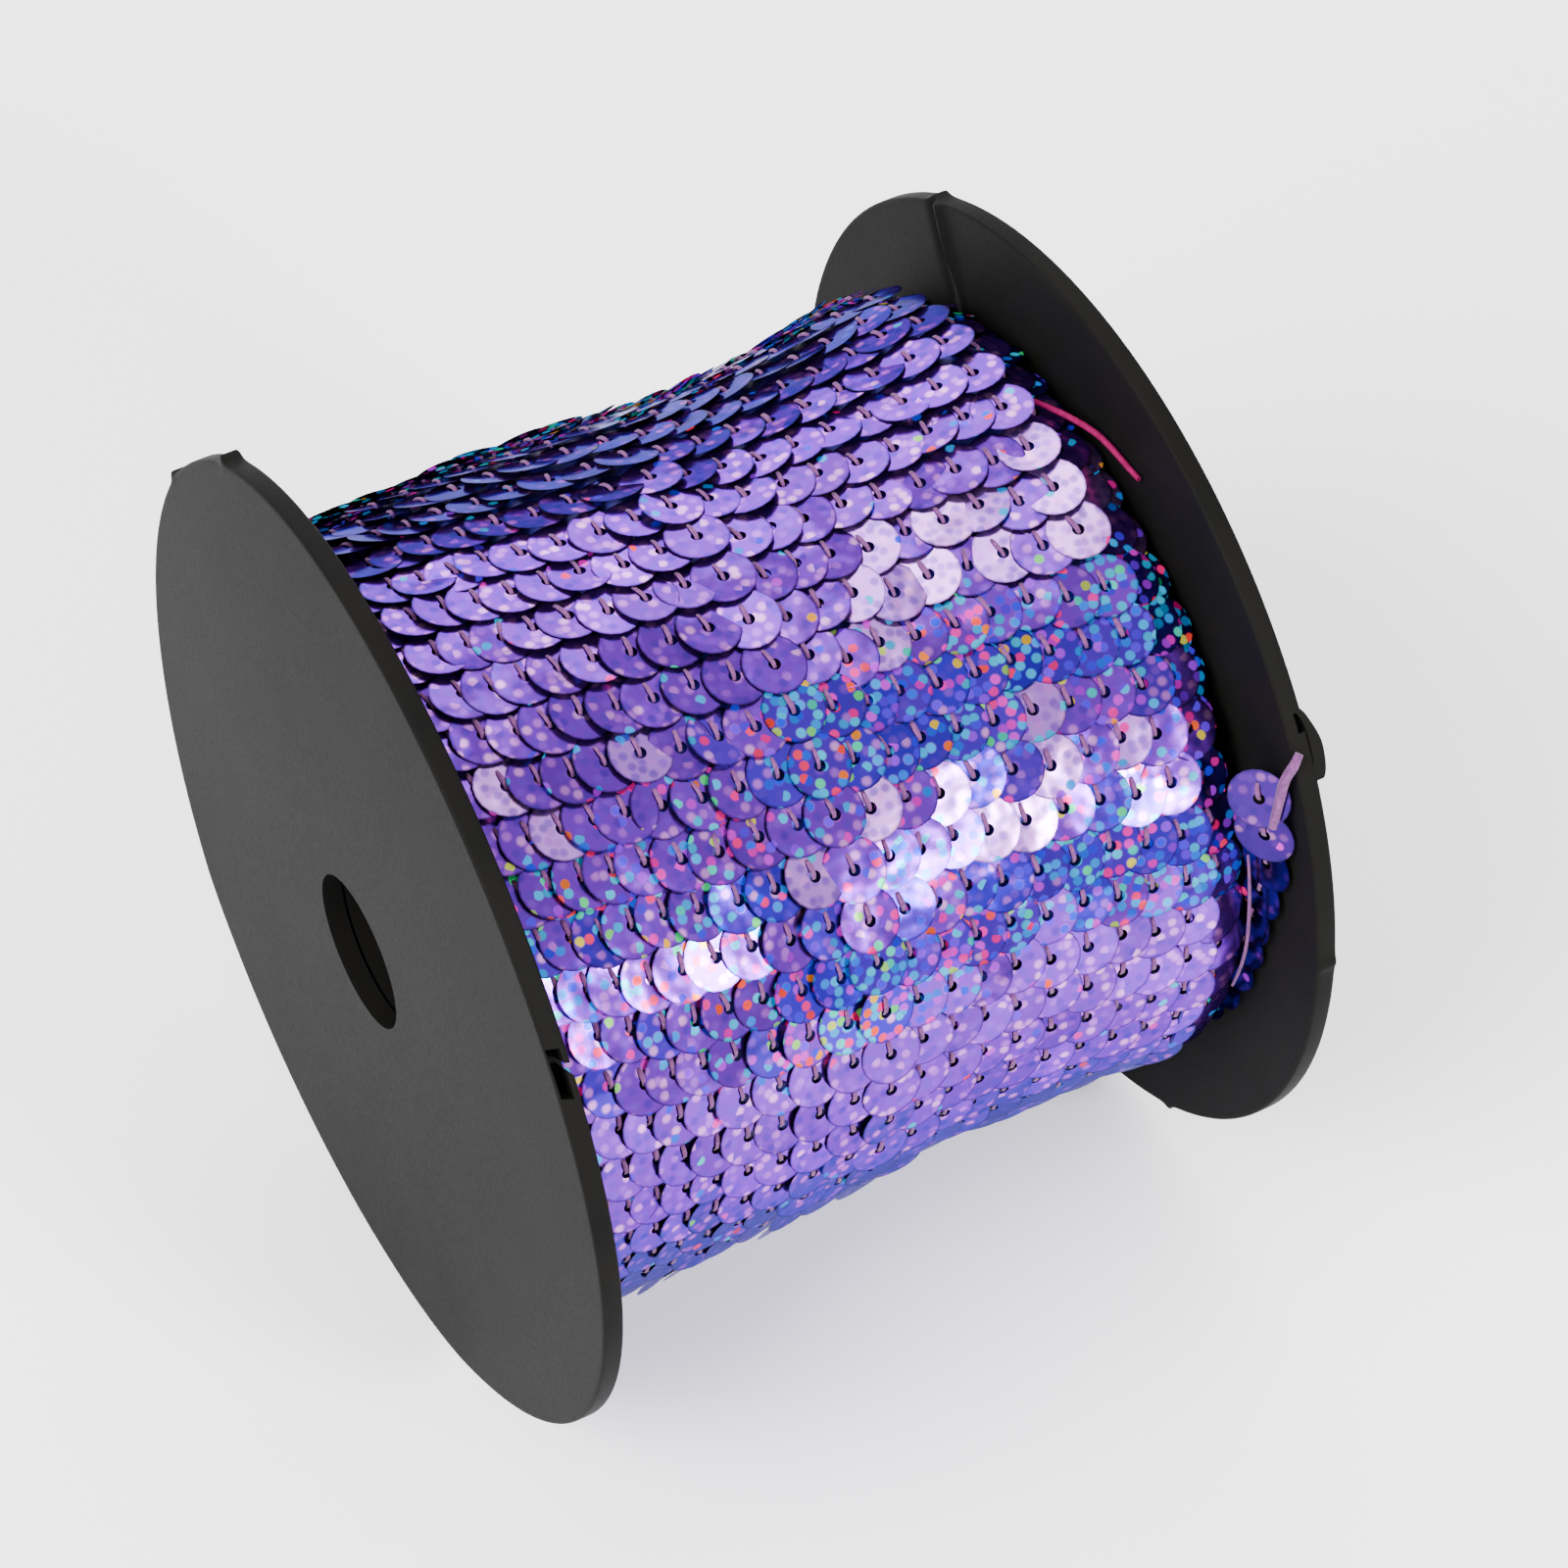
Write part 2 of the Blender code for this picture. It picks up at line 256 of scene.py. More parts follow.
@dataclass(frozen=True)
class HolographicFoil:
    """Vacuum-metallised polyester film with an embossed grating in round dots.

    It mirrors softly in violet. Each dot diffracts the light its own way, and these flashes are painted:
    in set bands the dots glow with painted spectral flashes on a painted dark blue-violet ground, and
    whole sequins carry painted lamp glints, painted dark reflections or painted shade.
    """

    name: str = "Holographic violet polyester film"
    colour: str = "6420A6"
    # Painted dark reflection and painted shade: colour of sequins darkened as if they mirrored the dark
    deep_colour: str = "2408A0"
    # Painted glint: colour of whole sequins lightened as if they mirrored the lamp
    pale_colour: str = "D08CF0"
    edge_colour: str = "3C24A0"
    # Painted shadow line along each sequin's outer edge, and painted shade on its underside
    cut_colour: str = "180838"
    dot: float = 1.08
    dot_edge: float = 0.44
    mottle: float = 0.62
    hue_spread: float = 0.6
    roughness: float = 0.2
    glow: float = 0.85

    SPECTRUM = (
        (0.00, "00C8F0"),
        (0.24, "0098FF"),
        (0.40, "1420F0"),
        (0.56, "6A00FF"),
        (0.72, "E800D0"),
        (0.85, "FF0078"),
        (0.90, "FF4020"),
        (0.93, "F0C020"),
        (0.96, "00E078"),
        (1.00, "00D0D8"),
    )
    TINTS = (
        (0.00, "2C1288"),
        (0.30, "5228A8"),
        (0.62, "8038C0"),
        (0.84, "C468D8"),
        (1.00, "F0A0E8"),
    )

    def ramp(self, tree: bpy.types.NodeTree, stops: tuple, position: bpy.types.NodeSocket) -> bpy.types.NodeSocket:
        """Adds a colour ramp.

        Args:
            tree: The node tree.
            stops: Places and their hex colours.
            position: What is looked up in it.

        Returns:
            Its colour.
        """
        node = add_node(tree, "ShaderNodeValToRGB", inputs={"Fac": position})
        elements = node.color_ramp.elements
        for place, _ in stops[1:-1]:
            elements.new(place)
        for element, (_, code) in zip(elements, stops):
            element.color = linear_colour(code)
        return node.outputs["Color"]

    def material(self) -> bpy.types.Material:
        """Makes the film. It reads each sequin's own map, in millimetres, and the light and shade painted into it.

        Returns:
            The material.
        """
        material, tree, shader = new_material(self.name)
        place = add_node(tree, "ShaderNodeUVMap", {"uv_map": "Foil"}).outputs["UV"]
        base_hue = add_node(tree, "ShaderNodeAttribute", {"attribute_name": "hue"}).outputs["Fac"]
        # Each sequin's painted light: dots with a painted flash, painted dark reflection, painted glint, tone with
        # painted shade
        vivid_share = add_node(tree, "ShaderNodeAttribute", {"attribute_name": "vivid"}).outputs["Fac"]
        deep_share = add_node(tree, "ShaderNodeAttribute", {"attribute_name": "deep"}).outputs["Fac"]
        pale_share = add_node(tree, "ShaderNodeAttribute", {"attribute_name": "pale"}).outputs["Fac"]
        tone = add_node(tree, "ShaderNodeAttribute", {"attribute_name": "tone"}).outputs["Fac"]
        cells = add_node(
            tree,
            "ShaderNodeTexVoronoi",
            {"voronoi_dimensions": "2D"},
            {"Vector": place, "Scale": 1 / self.dot, "Randomness": 0.85},
        )
        chance = add_node(tree, "ShaderNodeSeparateColor", inputs={"Color": cells.outputs["Color"]})
        dot = add_node(
            tree,
            "ShaderNodeMapRange",
            {"interpolation_type": "SMOOTHSTEP"},
            {
                "Value": cells.outputs["Distance"],
                "From Min": self.dot_edge - 0.1,
                "From Max": self.dot_edge + 0.06,
                "To Min": 1.0,
                "To Max": 0.0,
            },
        ).outputs["Result"]
        # Dots with a painted flash: their spectral colour goes into the base colour and glows
        lit = add_node(
            tree, "ShaderNodeMath", {"operation": "LESS_THAN"}, {0: chance.outputs["Red"], 1: vivid_share}
        )
        vivid = add_node(tree, "ShaderNodeMath", {"operation": "MULTIPLY"}, {0: lit.outputs[0], 1: dot}).outputs[0]
        spread = add_node(
            tree, "ShaderNodeMath", {"operation": "MULTIPLY"}, {0: chance.outputs["Green"], 1: self.hue_spread}
        )
        hue = add_node(
            tree,
            "ShaderNodeMath",
            {"operation": "ADD"},
            {0: base_hue, 1: spread.outputs[0]},
        )
        turned = add_node(tree, "ShaderNodeMath", {"operation": "FRACT"}, {0: hue.outputs[0]})
        spectrum = self.ramp(tree, self.SPECTRUM, turned.outputs[0])
        tint = self.ramp(tree, self.TINTS, chance.outputs["Blue"])
        # Painted dark reflection and painted shade: picked sequins and shaded ones take the dark colour
        ground = add_node(
            tree,
            "ShaderNodeMix",
            {"data_type": "RGBA"},
            {0: deep_share, 6: linear_colour(self.colour), 7: linear_colour(self.deep_colour)},
        )
        # Painted glint: picked sequins take the light glint colour
        lighter = add_node(
            tree,
            "ShaderNodeMix",
            {"data_type": "RGBA"},
            {0: pale_share, 6: ground.outputs[2], 7: linear_colour(self.pale_colour)},
        )
        print_share = add_node(
            tree,
            "ShaderNodeMapRange",
            {"interpolation_type": "SMOOTHSTEP"},
            {
                "Value": cells.outputs["Distance"],
                "From Min": 0.2,
                "From Max": 0.58,
                "To Min": self.mottle,
                "To Max": 0.0,
            },
        )
        mottled = add_node(
            tree,
            "ShaderNodeMix",
            {"data_type": "RGBA"},
            {0: print_share.outputs[0], 6: lighter.outputs[2], 7: tint},
        )
        # Random tone times painted shade
        toned = add_node(
            tree, "ShaderNodeVectorMath", {"operation": "SCALE"}, {0: mottled.outputs[2], "Scale": tone}
        )
        # The painted flashes' spectral colour, dimmed, replaces the base colour on flashing dots
        dimmed = add_node(
            tree, "ShaderNodeVectorMath", {"operation": "SCALE"}, {0: spectrum, "Scale": 0.4}
        )
        lively = add_node(
            tree, "ShaderNodeMix", {"data_type": "RGBA"}, {0: vivid, 6: toned.outputs[0], 7: dimmed.outputs[0]}
        )
        # Painted shadow and shade: the outer edge and underside of each sequin go dark
        rim = add_node(tree, "ShaderNodeAttribute", {"attribute_name": "rim"}).outputs["Fac"]
        colour = add_node(
            tree,
            "ShaderNodeMix",
            {"data_type": "RGBA"},
            {0: rim, 6: lively.outputs[2], 7: linear_colour(self.cut_colour)},
        )
        # Painted glow: flashing dots emit their spectral colour, though the foil is no lamp
        flare = add_node(
            tree,
            "ShaderNodeMapRange",
            inputs={"Value": chance.outputs["Blue"], "To Min": 0.15 * self.glow, "To Max": self.glow},
        )
        flash = add_node(
            tree,
            "ShaderNodeMath",
            {"operation": "MULTIPLY"},
            {0: vivid, 1: flare.outputs["Result"]},
        )
        metal = add_node(tree, "ShaderNodeMapRange", inputs={"Value": vivid, "To Min": 0.97, "To Max": 0.9})
        ripple = add_node(
            tree, "ShaderNodeTexNoise", {"noise_dimensions": "2D"}, {"Vector": place, "Scale": 0.35, "Detail": 1.0}
        )
        bump = add_node(
            tree,
            "ShaderNodeBump",
            inputs={"Height": ripple.outputs["Fac"], "Strength": 0.6, "Distance": 0.2 * MM},
        )
        feed(
            tree,
            shader,
            {
                "Base Color": colour.outputs[2],
                "Metallic": metal.outputs["Result"],
                "Roughness": self.roughness,
                "Specular Tint": linear_colour(self.edge_colour),
                "Coat Weight": 0.15,
                "Coat Roughness": 0.12,
                # Painted glow of the flashing dots
                "Emission Color": spectrum,
                "Emission Strength": flash.outputs[0],
                "Normal": bump.outputs["Normal"],
            },
        )
        return material


@dataclass(frozen=True)
class SewingThread:
    """Spun polyester sewing thread: matt, slightly fuzzy, darker where it turns away."""

    name: str
    colour: str
    shade_colour: str
    twist: float = 0.45 * MM
    sheen: float = 0.1

    def material(self) -> bpy.types.Material:
        """Makes the thread, with the light and dark of its plies.

        Returns:
            The material.
        """
        material, tree, shader = new_material(self.name)
        place = add_node(tree, "ShaderNodeTexCoord").outputs["Object"]
        plies = add_node(
            tree, "ShaderNodeTexNoise", inputs={"Vector": place, "Scale": 1 / self.twist, "Detail": 2.0}
        )
        # Painted shade of the plies: noise mixes the darker shade colour into the thread's own colour
        colour = add_node(
            tree,
            "ShaderNodeMix",
            {"data_type": "RGBA"},
            {0: plies.outputs["Fac"], 6: linear_colour(self.shade_colour), 7: linear_colour(self.colour)},
        )
        bump = add_node(
            tree,
            "ShaderNodeBump",
            inputs={"Height": plies.outputs["Fac"], "Strength": 0.6, "Distance": 0.1 * MM},
        )
        feed(
            tree,
            shader,
            {
                "Base Color": colour.outputs[2],
                "Roughness": 0.8,
                "Specular IOR Level": 0.12,
                "Sheen Weight": self.sheen,
                "Normal": bump.outputs["Normal"],
            },
        )
        return material


def around(along: np.ndarray, radius: np.ndarray, angle: np.ndarray) -> np.ndarray:
    """Places points around the reel's axis.

    x = along, y = -radius cos(angle), z = axis height + radius sin(angle), and z never goes below
    the surface that the reel lies on, which gives the rims their flat spot.

    Args:
        along: Distances along the axis, in metres.
        radius: Distances from the axis, in metres.
        angle: Angles from the -Y side over the top, in radians.

    Returns:
        The points, in the shape that the three share, with a last axis of x, y and z.
    """
    along, radius, angle = np.broadcast_arrays(along, radius, angle)
    height = np.maximum(AXIS_HEIGHT + radius * np.sin(angle), 0.0)
    return np.stack([along, -radius * np.cos(angle), height], axis=-1)


def near_lean(radius: np.ndarray, angle: np.ndarray) -> np.ndarray:
    """How far the warped near disc leans in towards the trim.

    lean = max(even + tilt cos(angle - a) + saddle cos 2(angle - b), 0) times the square of the
    share of the way from hub to rim.

    Args:
        radius: Distances from the axis, in metres.
        angle: Angles around the axis, in radians.

    Returns:
        The lean, in metres.
    """
    reach = np.maximum(radius - HUB_RADIUS, 0.0) / (DISC_RADIUS - HUB_RADIUS)
    tilt = 0.76 * MM * np.cos(angle - math.radians(117))
    saddle = 0.62 * MM * np.cos(2 * (angle - math.radians(147)))
    return np.maximum(0.6 * MM + tilt + saddle, 0.0) * reach**2


def far_lean(radius: np.ndarray, angle: np.ndarray) -> np.ndarray:
    """How far the far disc's rim leans outwards: 0.4 cos(angle - 85 deg) mm times the square of the reach.

    Args:
        radius: Distances from the axis, in metres.
        angle: Angles around the axis, in radians.

    Returns:
        The lean, in metres.
    """
    reach = np.maximum(radius - HUB_RADIUS, 0.0) / (DISC_RADIUS - HUB_RADIUS)
    return np.maximum(0.4 * MM * np.cos(angle - math.radians(85)), 0.0) * reach**2


def grid_faces(rows: int, columns: int, close_rows: bool, close_columns: bool) -> np.ndarray:
    """Lists the four corners of each face of a grid of points.

    Args:
        rows: Number of rows of points.
        columns: Number of points in a row.
        close_rows: Whether the last row joins the first.
        close_columns: Whether each row joins its own start.

    Returns:
        The corners' numbers, one face to a line.
    """
    row = np.arange(rows if close_rows else rows - 1)[:, None]
    column = np.arange(columns if close_columns else columns - 1)[None, :]
    row_after = (row + 1) % rows * columns
    column_after = (column + 1) % columns
    corners = (
        row * columns + column,
        row_after + column,
        row_after + column_after,
        row * columns + column_after,
    )
    return np.stack(np.broadcast_arrays(*corners), axis=-1).reshape(-1, 4)


def make_object(
    name: str,
    points: np.ndarray,
    faces: list[tuple[int, ...]],
    material: bpy.types.Material,
    sharp_degrees: float = 35.0,
) -> bpy.types.Object:
    """Makes a closed mesh whose faces point outwards, shaded smooth up to an angle.

    The sum over all faces of first corner . (second x third) is six times the volume that the fan's
    first triangles hold; for these shapes its sign tells which way the faces point.

    Args:
        name: The object's name.
        points: The points, in metres, in any number of rows.
        faces: The corners' numbers for each face.
        material: The material.
        sharp_degrees: Edges that turn by more than this stay sharp.

    Returns:
        The new object, at the origin.
    """
    flat = points.reshape(-1, 3)
    middle = flat.mean(axis=0)
    fans = np.array([(face[0], face[k], face[k + 1]) for face in faces for k in range(1, len(face) - 1)])
    first, second, third = (flat[fans[:, corner]] - middle for corner in range(3))
    if np.einsum("ij,ij->", first, np.cross(second, third)) < 0:
        faces = [tuple(face)[::-1] for face in faces]
    mesh = bpy.data.meshes.new(name)
    mesh.from_pydata(flat.tolist(), [], [tuple(int(corner) for corner in face) for face in faces])
    mesh.materials.append(material)
    mesh.shade_smooth()
    mesh.set_sharp_from_angle(angle=math.radians(sharp_degrees))
    item = bpy.data.objects.new(name, mesh)
    bpy.context.scene.collection.objects.link(item)
    return item


def add_tube(centres: np.ndarray, radii: np.ndarray, sides: int) -> tuple[np.ndarray, list[tuple[int, ...]]]:
    """Works out a round tube along a line of centres, closed at both ends.

    Each ring lies across the line's own direction: point = centre + radius (cos t side + sin t up),
    where side = direction x a fixed helper and up = side x direction.

    Args:
        centres: The ring centres, one to a row, in metres.
        radii: Each ring's radius, in metres.
        sides: Points in a ring.

    Returns:
        The points, and the faces by their numbers.
    """
    heading = np.gradient(centres, axis=0)
    heading /= np.linalg.norm(heading, axis=1)[:, None]
    helper = np.array([0.31, 0.17, 0.94])
    side = np.cross(heading, helper)
    side /= np.linalg.norm(side, axis=1)[:, None]
    up = np.cross(side, heading)
    turn = 2 * math.pi * np.arange(sides) / sides
    ring = np.cos(turn)[None, :, None] * side[:, None] + np.sin(turn)[None, :, None] * up[:, None]
    points = centres[:, None] + radii[:, None, None] * ring
    faces = [tuple(face) for face in grid_faces(len(centres), sides, False, True).tolist()]
    last = (len(centres) - 1) * sides
    faces.append(tuple(range(sides)))
    faces.append(tuple(range(last + sides - 1, last - 1, -1)))
    return points.reshape(-1, 3), faces


def smooth_line(knots: np.ndarray, count: int) -> np.ndarray:
    """Reads evenly stepped points from a Catmull-Rom curve through the knots.

    Args:
        knots: The places that the curve passes, one to a row.
        count: How many points to read.

    Returns:
        The points, one to a row.
    """
    padded = np.vstack([2 * knots[0] - knots[1], knots, 2 * knots[-1] - knots[-2]])
    steps = np.linspace(0, len(knots) - 1, count)
    first = np.minimum(steps.astype(int), len(knots) - 2)
    t = (steps - first)[:, None]
    a, b, c, d = (padded[first + offset] for offset in range(4))
    return 0.5 * (2 * b + (c - a) * t + (2 * a - 5 * b + 4 * c - d) * t**2 + (3 * b - a - 3 * c + d) * t**3)


@dataclass
class Reel:
    """The moulded reel: two notched discs and the hollow tube between them."""

    bore_radius: float = 7.7 * MM
    rim_round: float = 0.3 * MM
    sides: int = 180
    focus_reach: float = math.radians(7)
    focus_step: float = math.radians(0.45)
    notch_angle: float = math.radians(34.5)
    hook_width: float = 1.3 * MM

    # The near disc's thread notch is a groove behind a lip and a tongue with a slanted mouth between them
    CUTS = (
        RimCut(Side.NEAR, ((-37.62, 35.5), (-36.35, 35.1), (-36.35, 29.3), (-37.5, 29.8)), 2.6),
        RimCut(Side.NEAR, ((-36.6, 33.5), (-34.9, 32.9), (-34.9, 30.0), (-36.6, 33.1)), 2.6),
        RimCut(Side.FAR, ((37.4, 37.2), (38.8, 37.2), (38.8, 34.9), (37.4, 34.9)), 1.0),
    )
    # The far disc's hook has sprung outwards: (millimetres along, degrees)
    HOOK = ((37.6, 37.9), (38.15, 37.0), (38.55, 35.6), (38.82, 33.6), (38.8, 31.8), (38.55, 30.0), (38.2, 29.1))

    # Pointed flash on the rims, where the mould's halves met: degrees, and height in millimetres
    NUBS = {
        Side.NEAR: ((147.0, 0.9), (123.5, 1.1)),
        Side.FAR: ((121.6, 0.7), (-57.0, 0.7), (5.0, 0.4)),
    }
    WELD_ANGLE = math.radians(120.5)
    WELD_END = 39.0 * MM

    def angles(self, side: Side) -> np.ndarray:
        """Picks the angles of a disc's points: even all round, and closer at its notch and nubs.

        Args:
            side: Which disc.

        Returns:
            The angles in radians, in rising order.
        """
        even = 2 * math.pi * np.arange(self.sides) / self.sides
        places = [self.notch_angle] + [math.radians(degrees) for degrees, _ in self.NUBS[side]]
        offsets = np.arange(-self.focus_reach, self.focus_reach, self.focus_step)
        close = np.concatenate([place + offsets for place in places])
        together = np.sort(np.concatenate([even, close]) % (2 * math.pi))
        apart = np.diff(together, append=together[0] + 2 * math.pi) > self.focus_step * 0.45
        return together[apart]

    def profile(self) -> np.ndarray:
        """Works out a disc's profile: outer face, round rim, inner face, as (depth, radius) rows.

        The rim is two quarter circles: depth = a (1 - cos t), radius = R - a (1 - sin t).

        Returns:
            The profile, closed through the bore.
        """
        turn = np.linspace(0, math.pi / 2, 5)
        flat = np.concatenate(
            [
                [self.bore_radius, self.bore_radius + 0.5 * MM],
                np.linspace(HUB_RADIUS * 0.8, DISC_RADIUS - 6 * MM, 9),
                np.linspace(DISC_RADIUS - 5.4 * MM, DISC_RADIUS - self.rim_round - 0.3 * MM, 13),
            ]
        )
        depth = np.concatenate([np.zeros_like(flat), self.rim_round * (1 - np.cos(turn))])
        radius = np.concatenate([flat, DISC_RADIUS - self.rim_round * (1 - np.sin(turn))])
        outer = np.stack([depth, radius], axis=1)
        inner = np.stack([DISC_THICKNESS - depth, radius], axis=1)[::-1]
        return np.concatenate([outer, inner])

    def nub_height(self, side: Side, radius: np.ndarray, angle: np.ndarray) -> np.ndarray:
        """How far the flash stands out of the rim: a narrow peak at each nub, over the last 1.5 mm.

        Args:
            side: Which disc.
            radius: Distances from the axis, in metres.
            angle: Angles around the axis, in radians.

        Returns:
            The height, in metres.
        """
        near_rim = np.clip((radius - DISC_RADIUS + 1.5 * MM) / (1.5 * MM), 0, 1)
        height = np.zeros(np.broadcast(radius, angle).shape)
        for degrees, peak in self.NUBS[side]:
            off = np.angle(np.exp(1j * (angle - math.radians(degrees))))
            height = height + peak * MM * np.exp(-np.abs(off) / math.radians(0.75))
        return height * near_rim**2

    def weld_relief(self, radius: np.ndarray, angle: np.ndarray) -> np.ndarray:
        """The far disc's weld line: a groove beside a ridge, u exp(-u u), from the rim inwards.

        Args:
            radius: Distances from the axis, in metres.
            angle: Angles around the axis, in radians.

        Returns:
            How far the inner face is raised, in metres.
        """
        across = radius * np.angle(np.exp(1j * (angle - self.WELD_ANGLE))) / (1.0 * MM)
        fade = np.clip((radius - self.WELD_END) / (3 * MM), 0, 1)
        return -1.3 * MM * across * np.exp(-(across**2)) * fade

    def rim_cutter(self, cut: RimCut, material: bpy.types.Material) -> bpy.types.Object:
        """Builds the solid that sinks a cut into a rim: its outline, carried from below to above the rim.

        Args:
            cut: The cut.
            material: Any material.

        Returns:
            The cutter.
        """
        along, angle = np.array(cut.outline).T
        ends = np.array([DISC_RADIUS - cut.depth * MM, DISC_RADIUS + 3 * MM])[:, None]
        points = around(along * MM, ends, np.radians(angle))
        count = len(along)
        faces = [tuple(face) for face in grid_faces(2, count, False, True).tolist()]
        faces += [tuple(range(count)), tuple(range(2 * count - 1, count - 1, -1))]
        return make_object("RimCutter", points, faces, material)

    def build_hook(self, material: bpy.types.Material) -> bpy.types.Object:
        """Builds the far disc's hook: a square bar that follows its route on the rim.

        Args:
            material: The plastic.

        Returns:
            The hook.
        """
        along, angle = smooth_line(np.array(self.HOOK), 20).T
        width = self.hook_width * np.interp(angle, [30.0, 33.5, 36.0], [1.0, 0.9, 0.5])
        sideways, depth = np.array([(-0.5, 1.4), (0.5, 1.4), (0.5, 0.0), (-0.5, 0.0)]).T
        points = around(
            along[:, None] * MM + width[:, None] * sideways, DISC_RADIUS - depth * MM, np.radians(angle)[:, None]
        )
        faces = [tuple(face) for face in grid_faces(20, 4, False, True).tolist()]
        faces += [(0, 1, 2, 3), (79, 78, 77, 76)]
        return make_object("Hook", points, faces, material)

    def build_disc(self, side: Side, material: bpy.types.Material) -> bpy.types.Object:
        """Builds one disc: its profile carried round the axis, warped, notched and with its flash.

        Args:
            side: Which disc.
            material: The plastic.

        Returns:
            The disc.
        """
        depth, radius = (column[:, None] for column in self.profile().T)
        angle = self.angles(side)[None, :]
        spread = radius + self.nub_height(side, radius, angle)
        inner = depth > DISC_THICKNESS / 2
        if side is Side.NEAR:
            into = depth + near_lean(radius, angle)
        else:
            into = depth + inner * self.weld_relief(radius, angle) - far_lean(radius, angle)
        points = around(side.value * (REEL_WIDTH / 2 - into), spread, angle)
        faces = [tuple(face) for face in grid_faces(*points.shape[:2], True, True).tolist()]
        disc = make_object(f"Disc{side.name.title()}", points, faces, material)
        cutters = [self.rim_cutter(cut, material) for cut in self.CUTS if cut.side is side]
        for cutter in cutters:
            cut = disc.modifiers.new("thread notch", "BOOLEAN")
            cut.operation = "DIFFERENCE"
            cut.solver = "EXACT"
            cut.object = cutter
        done = disc.evaluated_get(bpy.context.evaluated_depsgraph_get())
        mesh = bpy.data.meshes.new_from_object(done)
        disc.modifiers.clear()
        disc.data = mesh
        for cutter in cutters:
            bpy.data.objects.remove(cutter, do_unlink=True)
        if side is Side.FAR:
            hook = self.build_hook(material)
            both = bmesh.new()
            both.from_mesh(mesh)
            both.from_mesh(hook.data)
            both.to_mesh(mesh)
            both.free()
            bpy.data.objects.remove(hook, do_unlink=True)
        mesh.shade_smooth()
        mesh.set_sharp_from_angle(angle=math.radians(35))
        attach(disc, "root")
        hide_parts(f"disc_{side.name.lower()}")
        return disc

    def build(self) -> list[bpy.types.Object]:
        """Builds both discs and gives the tube the same plastic.

        Returns:
            The discs.
        """
        plastic = MouldedPlastic().material()
        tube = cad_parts["core_tube"]
        for slot in tube.material_slots:
            slot.material = plastic
        return [self.build_disc(side, plastic) for side in Side]


@dataclass
class Seats:
    """Where a run of sequins lies: one row to a sequin in each array."""

    centre: np.ndarray
    across: np.ndarray
    onward: np.ndarray
    normal: np.ndarray
    place: np.ndarray


